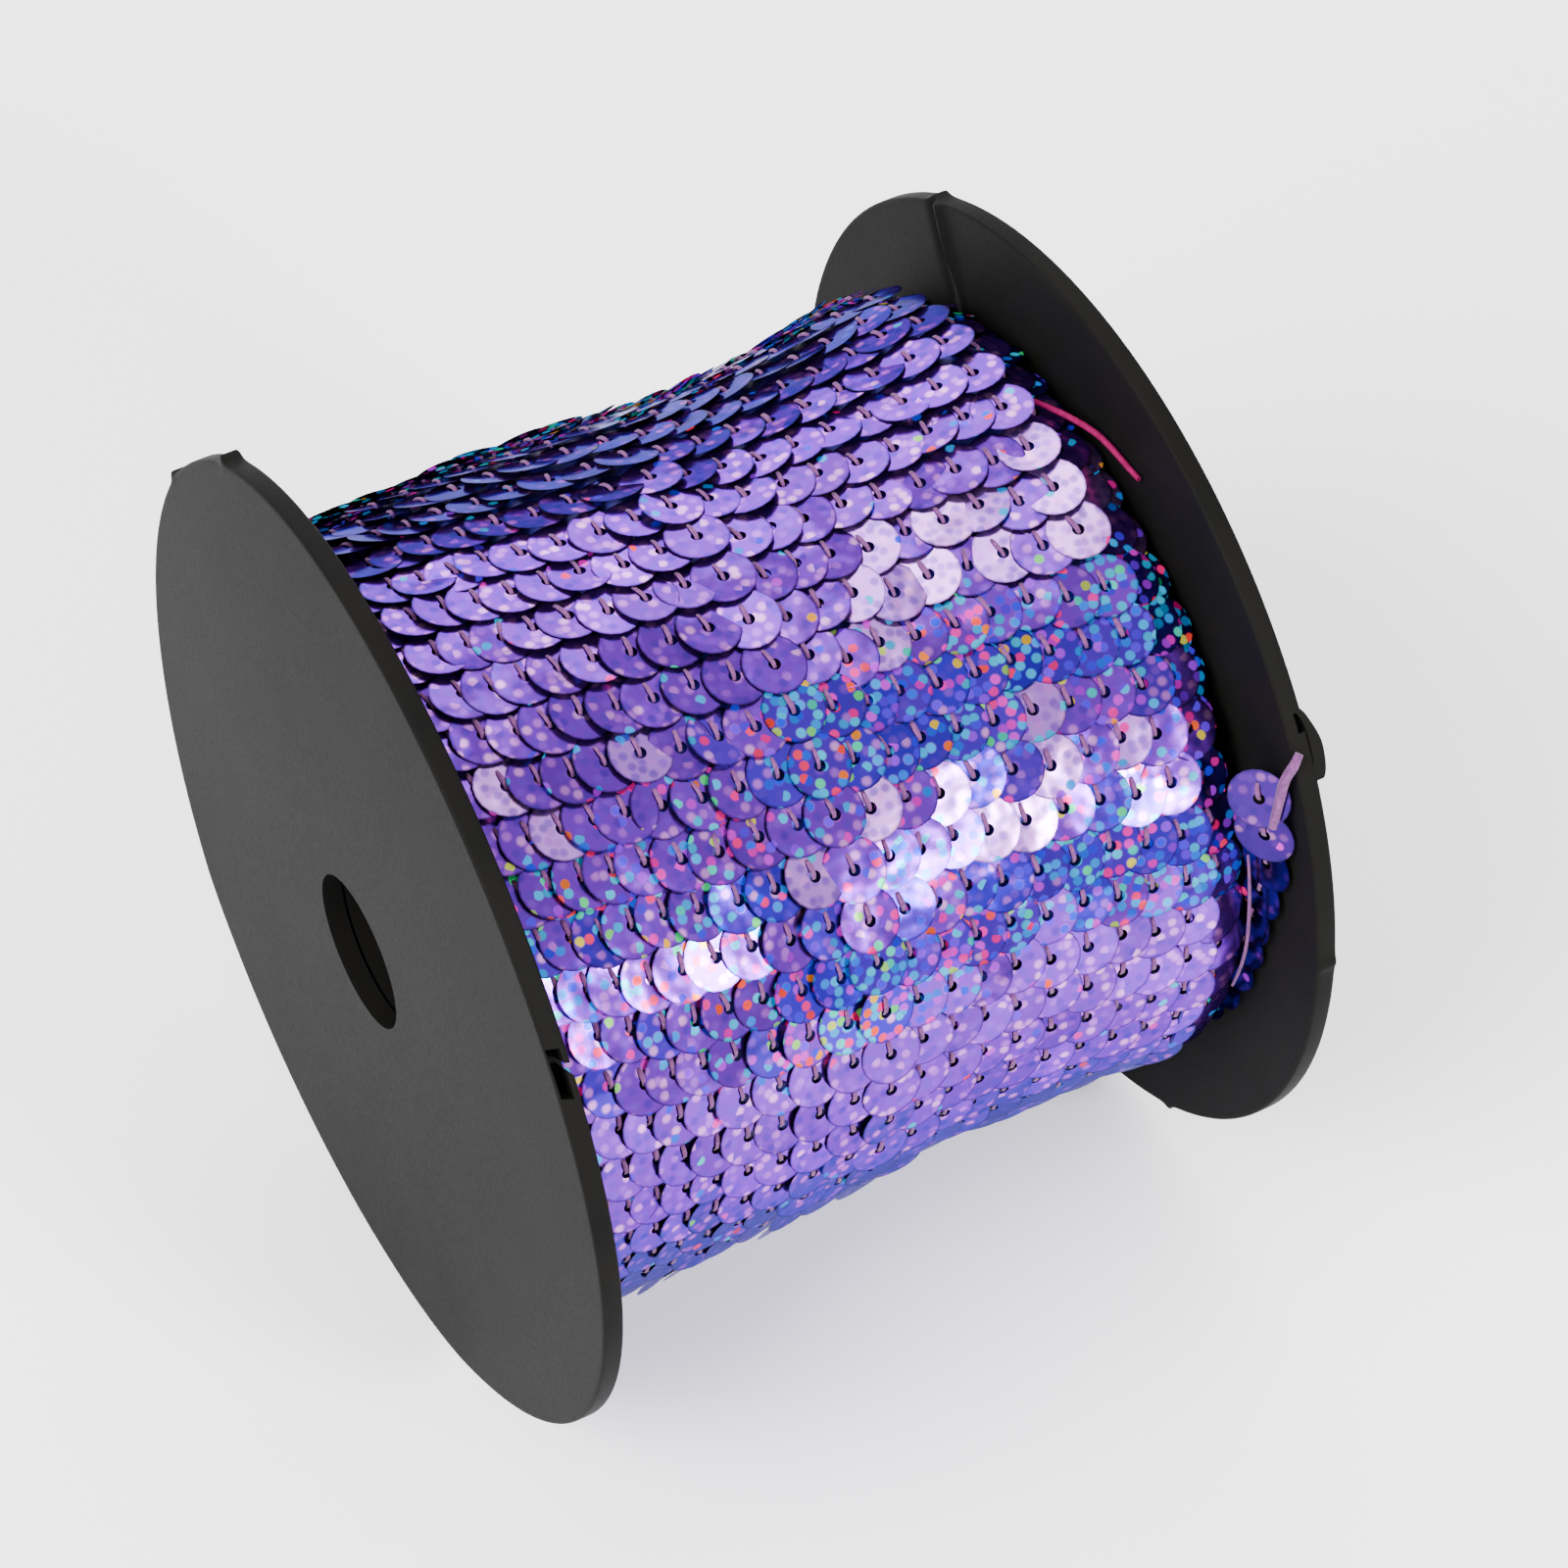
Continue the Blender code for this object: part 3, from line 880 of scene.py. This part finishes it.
@dataclass
class Sequin:
    """One flat sequin with a centre hole, and the stitch that holds it."""

    diameter: float = 6.0 * MM
    hole: float = 1.15 * MM
    thickness: float = 0.13 * MM
    segments: int = 22
    cut_edge: float = 0.24 * MM
    stitch_length: float = 1.9 * MM
    stitch_width: float = 0.46 * MM
    stitch_lean: float = math.radians(2)

    def local_disc(self) -> np.ndarray:
        """Works out one sequin's points: four rings, from the hole over the top and back below.

        Returns:
            The points by ring and turn, lying across z.
        """
        turn = 2 * math.pi * np.arange(self.segments) / self.segments
        radius = self.diameter / 2
        rings = (
            (self.hole / 2, self.thickness / 2),
            (radius - self.cut_edge, self.thickness / 2),
            (radius, self.thickness / 2 - 0.01 * MM),
            (self.hole / 2, -self.thickness / 2),
        )
        reach, height = (np.array(column)[:, None] for column in zip(*rings))
        return np.stack(np.broadcast_arrays(reach * np.cos(turn), reach * np.sin(turn), height), axis=-1)

    def place_all(self, local: np.ndarray, seats: Seats) -> np.ndarray:
        """Carries local points to every seat: centre + x across + y onward + z normal.

        Args:
            local: Points for one sequin, or for each sequin, ending in x, y and z.
            seats: Where they go.

        Returns:
            The points, with the seats along the first axis.
        """
        frames = np.stack([seats.across, seats.onward, seats.normal], axis=1)
        if local.ndim == 3:
            return seats.centre[:, None, None] + np.einsum("abi,nij->nabj", local, frames)
        return seats.centre[:, None, None] + np.einsum("nabi,nij->nabj", local, frames)

    def build_discs(
        self,
        name: str,
        seats: Seats,
        light: Callable[[np.ndarray], dict[str, np.ndarray]],
        material: bpy.types.Material,
        seed: int,
    ) -> bpy.types.Object:
        """Builds all the sequins of a run as one mesh, each slightly bowed in its own way.

        Bow: z gains b (x cos t + y sin t) squared over the radius squared.

        Args:
            name: The piece's name.
            seats: Where the sequins lie.
            light: Gives the foil's light bands for each sequin's place.
            material: The foil.
            seed: Seed of the random bow, tone and pattern offset.

        Returns:
            The piece.
        """
        count = len(seats.centre)
        random = np.random.default_rng(seed)
        local = np.broadcast_to(self.local_disc(), (count, 4, self.segments, 3)).copy()
        bow = random.normal(0.0, 0.07 * MM, count)[:, None, None]
        turn = random.uniform(0, math.pi, count)[:, None, None]
        reach = local[..., 0] * np.cos(turn) + local[..., 1] * np.sin(turn)
        local[..., 2] += bow * (reach / (self.diameter / 2)) ** 2
        points = self.place_all(local, seats)
        one = grid_faces(4, self.segments, True, True)
        faces = (one[None] + (np.arange(count) * 4 * self.segments)[:, None, None]).reshape(-1, 4)
        item = make_object(name, points, [tuple(face) for face in faces.tolist()], material)
        mesh = item.data
        shift = random.uniform(-40.0, 40.0, (count, 1, 1, 2))
        spots = (local[..., :2] / MM + shift).reshape(-1, 2)
        corners = np.empty(len(mesh.loops), dtype=np.int32)
        mesh.loops.foreach_get("vertex_index", corners)
        mesh.uv_layers.new(name="Foil").data.foreach_set("uv", spots[corners].ravel())
        values = light(seats.place)
        # Random tone, times the painted shade of the loose end
        values["tone"] = np.clip(random.normal(0.95, 0.12, count), 0.6, 1.3) * (1 - values.pop("shaded"))
        spreads = {title: np.repeat(value, 4 * self.segments) for title, value in values.items()}
        # Painted shadow line at each sequin's outer edge and painted shade on its underside, by ring
        spreads["rim"] = np.tile(np.repeat([0.0, 0.0, 0.9, 0.9], self.segments), count)
        for title, spread in spreads.items():
            mesh.attributes.new(title, "FLOAT", "POINT").data.foreach_set("value", spread)
        return item

    def build_stitches(self, name: str, seats: Seats, material: bpy.types.Material, seed: int) -> bpy.types.Object:
        """Builds the stitches of a run as one mesh: each comes up through its hole and runs onward.

        Middle line: y = start + t length, x = -y tan(lean), z = arch sin(pi t) raised quickly at the
        hole. Around it lies a flat oval.

        Args:
            name: The piece's name.
            seats: Where the sequins lie.
            material: The thread.
            seed: Seed of the small differences between stitches.

        Returns:
            The piece.
        """
        count = len(seats.centre)
        random = np.random.default_rng(seed)
        stations, sides = 6, 6
        t = np.linspace(0, 1, stations)[None, :, None]
        turn = (2 * math.pi * np.arange(sides) / sides)[None, None, :]
        lean = (self.stitch_lean + random.normal(0, math.radians(5), count))[:, None, None]
        width = self.stitch_width * random.uniform(0.85, 1.15, count)[:, None, None]
        swell = 0.75 + 0.25 * np.sin(math.pi * t)
        onward = -0.25 * MM + self.stitch_length * t + 0 * turn + 0 * lean
        sideways = -0.05 * MM - onward * np.tan(lean) + width / 2 * swell * np.cos(turn)
        rise = np.interp(t, [0, 0.2, 0.45, 0.8, 1.0], [-0.3, 0.06, 0.18, 0.14, -0.02]) * MM
        height = self.thickness / 2 + rise + width * 0.3 * np.sin(turn) + 0 * onward
        local = np.stack(np.broadcast_arrays(sideways, onward, height), axis=-1)
        points = self.place_all(local, seats)
        one = [tuple(face) for face in grid_faces(stations, sides, False, True).tolist()]
        last = (stations - 1) * sides
        one += [tuple(range(sides)), tuple(range(last + sides - 1, last - 1, -1))]
        step = stations * sides
        faces = [tuple(corner + number * step for corner in face) for number in range(count) for face in one]
        return make_object(name, points, faces, material, sharp_degrees=80.0)


@dataclass
class Winding:
    """The wound trim: an underlayer in painted shade, the outermost rows of sequins, and their stitches."""

    start: float = -REEL_WIDTH / 2 + DISC_THICKNESS + GAP
    end: float = REEL_WIDTH / 2 - DISC_THICKNESS - 1.8 * MM
    tube_radius: float = 10.2 * MM
    crown_row: int = 9
    row_phase: float = 80.0
    per_turn: float = 50.1
    first_turn: float = -0.3
    last_turn: float = 20.2
    lap_tilt: float = math.radians(6.5)
    row_roll: float = math.radians(7.0)
    under_depth: float = 0.95 * MM

    STRETCHES = (
        Stretch(rows=1, pitch=4.8),
        Stretch(rows=3, pitch=2.85),
        Stretch(rows=2, pitch=3.25),
        Stretch(rows=4, pitch=3.75),
        Stretch(rows=3, pitch=3.3),
        Stretch(rows=2, pitch=3.7),
        Stretch(rows=4, pitch=3.45),
        Stretch(rows=1, pitch=2.9),
    )
    FORM = (
        Station(along=-36.0, radius=37.4),
        Station(along=-30.0, radius=38.1),
        Station(along=-20.0, radius=38.5),
        Station(along=-10.0, radius=38.5),
        Station(along=-4.0, radius=38.3),
        Station(along=2.0, radius=37.7),
        Station(along=7.0, radius=37.4),
        Station(along=13.0, radius=37.6),
        Station(along=20.0, radius=38.1),
        Station(along=26.0, radius=38.8),
        Station(along=30.0, radius=39.2),
        Station(along=32.5, radius=38.3),
        Station(along=34.5, radius=36.8),
    )
    # Sequins past the first two stops lie in the far disc's corner, past the last two on the loose end;
    # there their colour gets painted shade
    SHADE_STOPS = (32.2, 32.4, 44.0, 45.0)
    # The bands of light painted into the foil repeat this often around the reel
    BAND_REPEAT = 120.0
    # Painted light at set places: glowing spectral flashes, lamp glints and dark reflections
    BANDS = (
        Band(Effect.VIVID, angle=55, half_width=9, start=-6, end=40, strength=1.0),
        Band(Effect.VIVID, angle=21, half_width=7, start=-14, end=40, strength=0.95),
        Band(Effect.VIVID, angle=38, half_width=20, start=-40, end=40, strength=0.42),
        Band(Effect.PALE, angle=72, half_width=8, start=3, end=40, strength=0.75),
        Band(Effect.PALE, angle=40, half_width=7, start=-10, end=30, strength=0.5),
        Band(Effect.PALE, angle=60, half_width=9, start=-40, end=-14, strength=0.3),
        Band(Effect.DEEP, angle=52, half_width=8, start=-16, end=40, strength=0.9),
        Band(Effect.DEEP, angle=24, half_width=8, start=-14, end=40, strength=0.85),
        Band(Effect.DEEP, angle=40, half_width=14, start=-40, end=40, strength=0.25),
    )

    def row_centres(self) -> np.ndarray:
        """Finds the middle of each row along the reel, with the last row in the far disc's corner.

        Returns:
            The places, in metres, in rising order.
        """
        pitches = np.array([stretch.pitch for stretch in self.STRETCHES for _ in range(stretch.rows)])
        edges = self.start + np.concatenate([[0.0], np.cumsum(pitches * MM)])
        centres = (edges[1:] + edges[:-1]) / 2
        centres[0] = centres[1] - 2.7 * MM
        return np.append(centres, REEL_WIDTH / 2 - DISC_THICKNESS - 3.1 * MM)

    def mean_radius(self, along: np.ndarray) -> np.ndarray:
        """Reads the winding's mean radius from its form, in metres."""
        places = [station.along * MM for station in self.FORM]
        radii = [station.radius * MM for station in self.FORM]
        return np.interp(along, places, radii)

    def unevenness(self, along: np.ndarray, angle: np.ndarray) -> np.ndarray:
        """How far the trim stands above its mean radius: a swell, a sink and soft lumps.

        swell = 0.8 cos(angle - 130 deg) exp(-((along - 28) / 8)^2), sink = 1.2 exp(-(off / 24 deg)^2)
        past the last even rows, lumps = 0.18 sin(3 angle + 70 along), in millimetres.

        Args:
            along: Places along the axis, in metres.
            angle: Angles around it, in radians.

        Returns:
            The height, in metres.
        """
        swell = 0.8 * np.cos(angle - math.radians(130)) * np.exp(-(((along / MM - 28) / 8) ** 2))
        off_top = np.angle(np.exp(1j * (angle - math.radians(80))))
        past = np.clip((along / MM - 29.5) / 2, 0, 1)
        sink = 1.2 * past * np.exp(-((off_top / math.radians(24)) ** 2))
        lumps = 0.18 * np.sin(3 * angle + 70 * along)
        return (swell - sink + lumps) * MM

    def shifted(self, along: np.ndarray, radius: np.ndarray, angle: np.ndarray) -> np.ndarray:
        """Moves places near the leaning disc along with it, less and less towards the middle."""
        middle = (self.start + self.end) / 2
        share = np.clip((middle - along) / (middle - self.start), 0, 1)
        return along + share * near_lean(radius, angle)

    def light(self, place: np.ndarray) -> dict[str, np.ndarray]:
        """Works out the light painted into the foil at each sequin.

        In a band of painted flashes the value is the share of dots that glow. Sequins with a painted lamp
        glint or a painted dark reflection are picked one by one, with the band's strength as their chance.

        Args:
            place: One row to a sequin: millimetres along the reel, and degrees around it.

        Returns:
            Values from 0 to 1 by the attribute's name.
        """
        random = np.random.default_rng(11)
        levels = {effect: np.zeros(len(place)) for effect in Effect}
        for band in self.BANDS:
            off = (place[:, 1] - band.angle + self.BAND_REPEAT / 2) % self.BAND_REPEAT - self.BAND_REPEAT / 2
            rise = np.clip((place[:, 0] - band.start) / 6 + 0.5, 0, 1)
            fall = np.clip((band.end - place[:, 0]) / 6 + 0.5, 0, 1)
            level = band.strength * np.exp(-((off / band.half_width) ** 4)) * rise * fall
            levels[band.effect] = np.maximum(levels[band.effect], level)
        count = len(place)
        # Sequins picked for a painted lamp glint
        pale = random.uniform(0, 1, count) < levels[Effect.PALE]
        # Sequins picked for a painted dark reflection
        deep = random.uniform(0, 1, count) < levels[Effect.DEEP]
        # A few stray dots everywhere get a painted flash too
        stray = random.uniform(0, 0.06, count)
        along, degrees = place.T
        drift = 0.55 * np.sin(along / 4.9 + degrees / 8) + 0.45 * np.sin(along / 3.3 - degrees / 5.5 + 1)
        # Painted shade on the far corner's sequins and the loose end; the corner row also gets more flashing dots
        shaded = np.interp(along, self.SHADE_STOPS, (0.0, 0.9, 0.9, 0.35))
        return {
            "hue": np.mod(drift + random.uniform(0, 0.2, count), 1.0),
            "shaded": np.interp(along, self.SHADE_STOPS, (0.0, 0.0, 0.0, 0.66)),
            "vivid": np.clip(
                levels[Effect.VIVID] * random.uniform(0.6, 1.4, count) * (1 - 0.7 * pale)
                + stray
                + 0.3 * (shaded > 0.8),
                0,
                1,
            ),
            "pale": pale * random.uniform(0.5, 1.0, count),
            # The painted dark share: painted shade, or a painted dark reflection on picked sequins
            "deep": np.maximum(shaded, np.where(pale, 0.0, deep * random.uniform(0.6, 1.0, count))),
        }

    def seats(self) -> Seats:
        """Seats the sequins on one long helix that follows the measured rows.

        The n-th sequin is at turn t = first + n / per turn. Its angle is 360 t + phase, and its
        place along the reel is read between the row centres at t. It stands on the winding's
        surface, tilts back so that it laps the one before it, and rolls so that its row laps the
        next one away from the crown row.

        Returns:
            The seats.
        """
        random = np.random.default_rng(5)
        count = int((self.last_turn - self.first_turn) * self.per_turn)
        turn = self.first_turn + np.arange(count) / self.per_turn
        centres = self.row_centres()
        angle = math.radians(self.row_phase) + 2 * math.pi * turn
        angle = angle + random.normal(0, math.radians(0.35), count)
        along = np.interp(turn, np.arange(len(centres)), centres) + random.normal(0, 0.10 * MM, count)
        degrees = np.degrees(np.angle(np.exp(1j * angle)))
        beside_end = (degrees > -36) & (degrees < 38) & (turn > 19)
        along = np.where(beside_end, np.minimum(along, 31.8 * MM), along)
        slope = (self.mean_radius(along + 2 * MM) - self.mean_radius(along - 2 * MM)) / (4 * MM)
        from_crown = np.clip((turn - self.crown_row) / 2.0, -1, 1)
        roll = -self.row_roll * from_crown - np.arctan(slope) * np.clip((along / MM - 20) / 10, 0.3, 0.9)
        roll = roll + random.normal(0, math.radians(2.8), count)
        tilt = self.lap_tilt + random.normal(0, math.radians(2.5), count)
        lift = 0.3 * MM * np.exp(-(((turn - self.crown_row) / 0.5) ** 2)) - 0.5 * MM * np.clip(turn - 18.6, 0, 1)
        radius = self.mean_radius(along) + self.unevenness(along, angle) + lift
        centre = around(self.shifted(along, radius, angle), radius, angle)
        outward = np.stack([np.zeros(count), -np.cos(angle), np.sin(angle)], axis=1)
        ahead = np.stack([np.zeros(count), np.sin(angle), np.cos(angle)], axis=1)
        axial = np.broadcast_to(np.array([1.0, 0.0, 0.0]), (count, 3))
        normal = outward + np.tan(tilt)[:, None] * ahead + np.tan(roll)[:, None] * axial
        normal /= np.linalg.norm(normal, axis=1)[:, None]
        across = np.cross(ahead, normal)
        across /= np.linalg.norm(across, axis=1)[:, None]
        onward = np.cross(normal, across)
        return Seats(centre, across, onward, normal, np.stack([along / MM, degrees], axis=1))

    def build_underlayer(self, material: bpy.types.Material) -> bpy.types.Object:
        """Builds the layer that shows between the sequins, dark with painted shade, as a turned solid.

        Its outside is the winding's surface, lowered, and its inside clears the tube.

        Args:
            material: The dark foil.

        Returns:
            The piece.
        """
        along = np.linspace(self.start, self.end, 60)
        bare = self.tube_radius + GAP
        along = np.concatenate([[self.start], along, [self.end]])[:, None]
        angle = (2 * math.pi * np.arange(144) / 144)[None, :]
        radius = self.mean_radius(along) - self.under_depth + self.unevenness(along, angle)
        radius[[0, -1]] = bare
        points = around(self.shifted(along, radius, angle), radius, angle)
        faces = [tuple(face) for face in grid_faces(*points.shape[:2], True, True).tolist()]
        item = make_object("WoundUnderlayer", points, faces, material)
        return item

    def build(self, foil: bpy.types.Material, thread: bpy.types.Material) -> list[bpy.types.Object]:
        """Builds the underlayer, the sequins in one run, and the stitches.

        Args:
            foil: The sequins' film.
            thread: The sewing thread.

        Returns:
            The pieces.
        """
        under = self.build_underlayer(UnderFoil().material())
        seats = self.seats()
        sequin = Sequin()
        discs = sequin.build_discs("Sequins", seats, self.light, foil, seed=3)
        stitches = sequin.build_stitches("Stitches", seats, thread, seed=4)
        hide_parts("winding")
        for piece in (under, discs, stitches):
            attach(piece, "root")
        return [under, discs, stitches]


@dataclass(frozen=True)
class UnderFoil:
    """The same metallised film between sequins in painted shade: nearly black, with blue-violet depth."""

    name: str = "Shaded violet polyester film"
    colour: str = "120A3C"
    deep_colour: str = "2A1690"

    def material(self) -> bpy.types.Material:
        """Makes the film in painted shade, patchy as the overlapping sequins below it.

        Returns:
            The material.
        """
        material, tree, shader = new_material(self.name)
        place = add_node(tree, "ShaderNodeTexCoord").outputs["Object"]
        patches = add_node(tree, "ShaderNodeTexVoronoi", inputs={"Vector": place, "Scale": 1 / (2.2 * MM)})
        pick = add_node(tree, "ShaderNodeSeparateColor", inputs={"Color": patches.outputs["Color"]})
        colour = add_node(
            tree,
            "ShaderNodeMix",
            {"data_type": "RGBA"},
            {0: pick.outputs["Red"], 6: linear_colour(self.colour), 7: linear_colour(self.deep_colour)},
        )
        feed(tree, shader, {"Base Color": colour.outputs[2], "Metallic": 0.6, "Roughness": 0.45})
        return material


@dataclass
class LooseEnd:
    """The strand's loose end on the far disc's inner face, with its cut thread and two stray threads."""

    along: float = REEL_WIDTH / 2 - DISC_THICKNESS - GAP - 0.6 * MM
    stations: int = 26
    pitch: float = 4.6 * MM
    width: float = 6.0 * MM

    ROUTE = (
        Waypoint(angle=-28.0, radius=34.9),
        Waypoint(angle=-20.0, radius=35.7),
        Waypoint(angle=-12.0, radius=36.3),
        Waypoint(angle=-4.0, radius=36.9),
        Waypoint(angle=4.0, radius=38.0),
        Waypoint(angle=12.0, radius=39.8),
        Waypoint(angle=19.0, radius=41.9),
        Waypoint(angle=25.0, radius=43.6),
        Waypoint(angle=31.0, radius=44.4),
    )
    # Stray threads, as (along, radius, angle) in millimetres and degrees
    STUB = ((33.8, 45.5, 24.6), (34.5, 46.1, 27.4), (35.2, 46.9, 30.2), (36.0, 47.9, 32.0), (36.7, 48.1, 33.1))
    PINK = ((31.6, 38.6, 89.5), (33.2, 38.3, 86.4), (34.4, 38.3, 83.2), (35.4, 38.6, 79.0), (35.6, 39.6, 73.0), (35.6, 40.4, 70.0))
    FLOATING = ((34.0, 39.6, 17.0), (33.9, 39.4, 8.0), (33.8, 39.2, -1.0), (33.6, 38.6, -10.0))

    def route(self) -> np.ndarray:
        """Works out the loose end's middle line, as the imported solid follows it.

        Returns:
            The line's points, in metres.
        """
        knots = np.array([(math.radians(place.angle), place.radius * MM) for place in self.ROUTE])
        angle, radius = smooth_line(knots, self.stations).T
        return around(self.along, radius, angle)

    def seats(self, line: np.ndarray) -> Seats:
        """Seats sequins along the loose end, flat to the disc and turning outwards at the top.

        Args:
            line: The middle line.

        Returns:
            The seats.
        """
        random = np.random.default_rng(8)
        steps = np.concatenate([[0.0], np.cumsum(np.linalg.norm(np.diff(line, axis=0), axis=1))])
        stops = np.arange(0.4 * self.pitch, steps[-1], self.pitch)
        centre = np.stack([np.interp(stops, steps, column) for column in line.T], axis=1)
        ahead = np.stack([np.interp(stops, steps, column) for column in np.gradient(line, axis=0).T], axis=1)
        ahead /= np.linalg.norm(ahead, axis=1)[:, None]
        out = np.cross(np.array([1.0, 0.0, 0.0]), ahead)
        share = stops / steps[-1]
        turn = np.radians(8 + 30 * np.clip((share - 0.65) / 0.25, 0, 1)) + random.normal(0, 0.06, len(stops))
        facing = -np.cos(turn)[:, None] * np.array([1.0, 0.0, 0.0]) + np.sin(turn)[:, None] * out
        tilt = math.radians(4) + random.normal(0, 0.02, len(stops))
        normal = facing + np.tan(tilt)[:, None] * ahead
        normal /= np.linalg.norm(normal, axis=1)[:, None]
        across = np.cross(ahead, normal)
        across /= np.linalg.norm(across, axis=1)[:, None]
        onward = np.cross(normal, across)
        centre[:, 0] -= 1.3 * MM * np.clip((share - 0.7) / 0.2, 0, 1)
        # Placed past the last shade stop, so the loose end gets painted shade
        place = np.tile([Winding.SHADE_STOPS[-1], 100.0], (len(stops), 1))
        return Seats(centre, across, onward, normal, place)

    def thread(self, name: str, knots: tuple, width: float, material: bpy.types.Material) -> bpy.types.Object:
        """Builds one stray thread, thinner at both ends.

        Args:
            name: The piece's name.
            knots: Its route: millimetres along, millimetres from the axis, degrees around.
            width: Its width in metres.
            material: The thread.

        Returns:
            The piece.
        """
        along, radius, angle = smooth_line(np.array(knots), 22).T
        centres = around(along * MM, radius * MM, np.radians(angle))
        share = np.linspace(0, 1, len(centres))
        radii = width / 2 * (0.8 + 0.2 * np.sin(math.pi * share))
        points, faces = add_tube(centres, radii, 8)
        item = make_object(name, points, faces, material, sharp_degrees=80.0)
        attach(item, "root")
        return item

    def build(
        self,
        foil: bpy.types.Material,
        thread: bpy.types.Material,
        light: Callable[[np.ndarray], dict[str, np.ndarray]],
    ) -> list[bpy.types.Object]:
        """Builds the loose end and its threads.

        Args:
            foil: The sequins' film.
            thread: The sewing thread.
            light: Gives the foil's light bands.

        Returns:
            The pieces.
        """
        line = self.route()
        seats = self.seats(line)
        sequin = Sequin()
        strand = sequin.build_discs("LooseEnd", seats, light, foil, seed=6)
        stitches = sequin.build_stitches("LooseEndStitches", seats, thread, seed=7)
        stub = self.thread("ThreadStub", self.STUB, 1.0 * MM, thread)
        floating = self.thread("LooseThread", self.FLOATING, 0.35 * MM, thread)
        pink = SewingThread("Magenta polyester thread", "8A034C", "4E0228", sheen=0.0).material()
        stray = self.thread("PinkThread", self.PINK, 0.62 * MM, pink)
        for piece in (strand, stitches):
            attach(piece, "root")
        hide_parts("trim_tail")
        return [strand, stitches, stub, floating, stray]


@dataclass
class Studio:
    """A white floor, soft light, and the camera at the photograph's viewing angle."""

    lens: float = 121.0
    eye: tuple[float, float, float] = (-0.15432, -0.29042, 0.42149)
    target: tuple[float, float, float] = (0.00630, -0.00095, 0.0472)
    floor_size: float = 4.0

    def aim(self, item: bpy.types.Object, target: tuple[float, float, float]) -> None:
        """Turns a lamp or camera to look at a point, upright."""
        direction = Vector(target) - item.location
        item.rotation_euler = direction.to_track_quat("-Z", "Y").to_euler()

    def add_camera(self) -> None:
        """Adds the camera, whose lens and place were fitted to both rims of the reel."""
        data = bpy.data.cameras.new("Camera")
        data.lens = self.lens
        data.sensor_width = 36.0
        camera = bpy.data.objects.new("Camera", data)
        camera.location = self.eye
        self.aim(camera, self.target)
        bpy.context.scene.collection.objects.link(camera)
        bpy.context.scene.camera = camera

    def add_lamp(self, name: str, place: tuple[float, float, float], size: float, power: float) -> None:
        """Adds a square soft lamp that faces the reel.

        Args:
            name: The lamp's name.
            place: Where it stands, in metres.
            size: Its side, in metres.
            power: Its power in watts.
        """
        data = bpy.data.lights.new(name, "AREA")
        data.shape = "SQUARE"
        data.size = size
        data.energy = power
        lamp = bpy.data.objects.new(name, data)
        lamp.location = place
        self.aim(lamp, (0.0, 0.0, 0.05))
        bpy.context.scene.collection.objects.link(lamp)

    def add_floor(self) -> None:
        """Adds the plain floor, a flat square sheet just below the rims."""
        half = self.floor_size / 2
        mesh = bpy.data.meshes.new("Floor")
        corners = [(-half, -half, 0.0), (half, -half, 0.0), (half, half, 0.0), (-half, half, 0.0)]
        mesh.from_pydata(corners, [], [(0, 1, 2, 3)])
        material, tree, shader = new_material("White card")
        feed(tree, shader, {"Base Color": linear_colour("FAFAFA"), "Roughness": 0.9})
        mesh.materials.append(material)
        floor = bpy.data.objects.new("Floor", mesh)
        bpy.context.scene.collection.objects.link(floor)

    def add_world(self) -> None:
        """Lights the room evenly from all round."""
        world = bpy.data.worlds.new("Room")
        world.use_nodes = True
        background = world.node_tree.nodes["Background"]
        background.inputs["Color"].default_value = linear_colour("E6E8F0")
        background.inputs["Strength"].default_value = 1.6
        bpy.context.scene.world = world

    def build(self) -> None:
        """Adds the camera, the room, the floor and the lamps."""
        self.add_camera()
        self.add_world()
        self.add_floor()
        self.add_lamp("Left softbox", (-0.95, -0.25, 0.95), 0.8, 50.0)
        self.add_lamp("Back softbox", (0.42, 1.05, 0.74), 1.0, 13.0)
        self.add_lamp("Overhead softbox", (0.08, 0.22, 1.00), 0.46, 2.7)
        self.add_lamp("Front lamp", (0.27, -0.79, 0.47), 0.21, 13.5)


def main() -> None:
    """Builds the camera, the reel, the wound trim and its loose end."""
    logging.basicConfig(level=logging.INFO, format="%(name)s: %(message)s")
    Studio().build()
    foil = HolographicFoil().material()
    thread = SewingThread("Mauve polyester thread", "744070", "30143C").material()
    winding = Winding()
    pieces = LooseEnd().build(foil, thread, winding.light)
    pieces += Reel().build()
    pieces += winding.build(foil, thread)
    for piece in pieces:
        triangles = sum(len(face.vertices) - 2 for face in piece.data.polygons)
        log.info("%s: %d triangles", piece.name, triangles)


if __name__ == "__main__":
    main()
